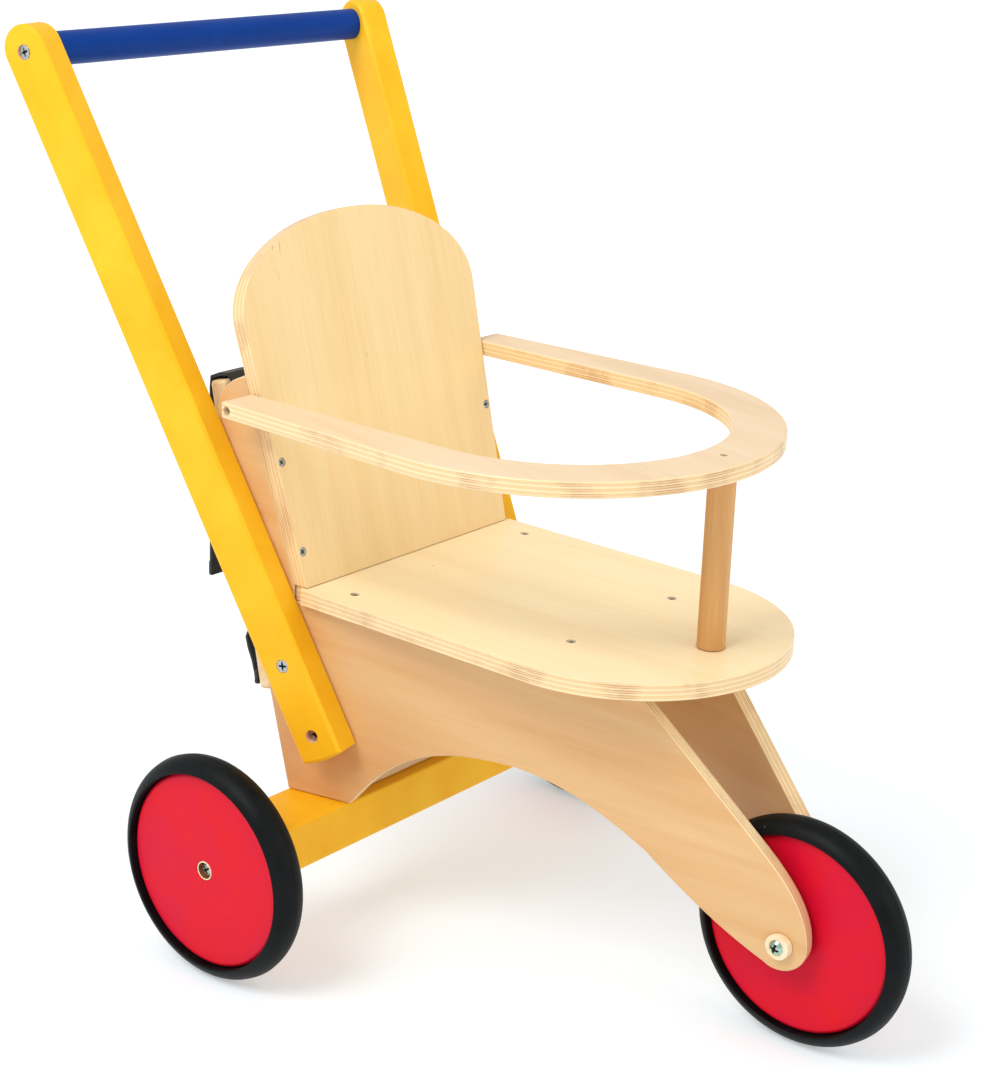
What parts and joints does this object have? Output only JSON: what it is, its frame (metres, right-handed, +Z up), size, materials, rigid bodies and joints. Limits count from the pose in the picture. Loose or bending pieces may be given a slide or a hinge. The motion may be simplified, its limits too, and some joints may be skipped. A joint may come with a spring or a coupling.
{
  "type": "doll stroller",
  "caption": "Wooden doll stroller: plywood seat, backrest and guard ring on toed-in side panels, painted handle, and wheels with rubber tyres on a rear beam and a front fork.",
  "frame": {"origin": "middle of the bounding box on the ground under the wheels", "axes": "+Z up, -Y forward, +X towards the stroller's left side"},
  "size_m": [0.3354, 0.5142, 0.4877],
  "materials": {
    "plywood_panel": "clear-lacquered birch plywood, a little darker, grain along the panel",
    "plywood": "clear-lacquered birch plywood with the plies showing at its edges",
    "beech": "bare sanded beech",
    "yellow_painted_wood": "satin yellow paint on wood",
    "blue_painted_wood": "satin blue paint on a turned dowel",
    "red_painted_wood": "satin red paint on a wooden disc",
    "tyre_rubber": "plain smooth black rubber",
    "black_rubber": "matt black",
    "steel": "plain steel",
    "zinc_plated_steel": "bright zinc plating",
    "webbing": "black woven webbing"
  },
  "bodies": {
    "frame": {"arm_screw_lower_left": "zinc_plated_steel", "arm_screw_lower_right": "zinc_plated_steel", "arm_screw_upper_left": "zinc_plated_steel", "arm_screw_upper_right": "zinc_plated_steel", "backrest": "plywood", "backrest_screw_lower_left": "zinc_plated_steel", "backrest_screw_lower_right": "zinc_plated_steel", "backrest_screw_upper_left": "zinc_plated_steel", "backrest_screw_upper_right": "zinc_plated_steel", "beam_screw_front_left": "zinc_plated_steel", "beam_screw_front_right": "zinc_plated_steel", "beam_screw_rear_left": "zinc_plated_steel", "beam_screw_rear_right": "zinc_plated_steel", "cross_board": "beech", "front_axle": "steel", "front_screw_left": "zinc_plated_steel", "front_screw_right": "zinc_plated_steel", "front_spacer_left": "black_rubber", "front_spacer_right": "black_rubber", "front_washer_left": "beech", "front_washer_right": "beech", "guard_ring": "plywood", "handle_arm_left": "yellow_painted_wood", "handle_arm_right": "yellow_painted_wood", "handlebar": "blue_painted_wood", "handlebar_screw_left": "zinc_plated_steel", "handlebar_screw_right": "zinc_plated_steel", "lower_rear_slat": "beech", "post_screw_bottom": "zinc_plated_steel", "post_screw_top": "zinc_plated_steel", "rear_beam": "yellow_painted_wood", "rear_wheel_screw_left": "zinc_plated_steel", "rear_wheel_screw_right": "zinc_plated_steel", "rear_wheel_spacer_left": "steel", "rear_wheel_spacer_right": "steel", "ring_post": "beech", "ring_screw_left": "zinc_plated_steel", "ring_screw_right": "zinc_plated_steel", "seat": "plywood", "seat_screw_front_left": "zinc_plated_steel", "seat_screw_front_right": "zinc_plated_steel", "seat_screw_rear_left": "zinc_plated_steel", "seat_screw_rear_right": "zinc_plated_steel", "side_panel_left": "plywood_panel", "side_panel_right": "plywood_panel", "strap_left": "webbing", "strap_right": "webbing", "upper_rear_slat": "beech"},
    "rear_wheel_left": {"rear_wheel_left_disc": "red_painted_wood", "rear_wheel_left_bush": "beech", "rear_wheel_left_tyre": "tyre_rubber"},
    "rear_wheel_right": {"rear_wheel_right_disc": "red_painted_wood", "rear_wheel_right_bush": "beech", "rear_wheel_right_tyre": "tyre_rubber"},
    "front_wheel": {"front_wheel_disc": "red_painted_wood", "front_wheel_bush": "beech", "front_wheel_tyre": "tyre_rubber"}
  },
  "joints": [
    {"name": "rear_wheel_left_spin", "type": "hinge", "parent": "frame", "child": "rear_wheel_left", "pos_m": [0.1575, 0.0773, 0.0625], "axis": [1, 0, 0], "continuous": true},
    {"name": "rear_wheel_right_spin", "type": "hinge", "parent": "frame", "child": "rear_wheel_right", "pos_m": [-0.1575, 0.0773, 0.0625], "axis": [1, 0, 0], "continuous": true},
    {"name": "front_wheel_spin", "type": "hinge", "parent": "frame", "child": "front_wheel", "pos_m": [0, -0.1927, 0.0625], "axis": [1, 0, 0], "continuous": true}
  ]
}
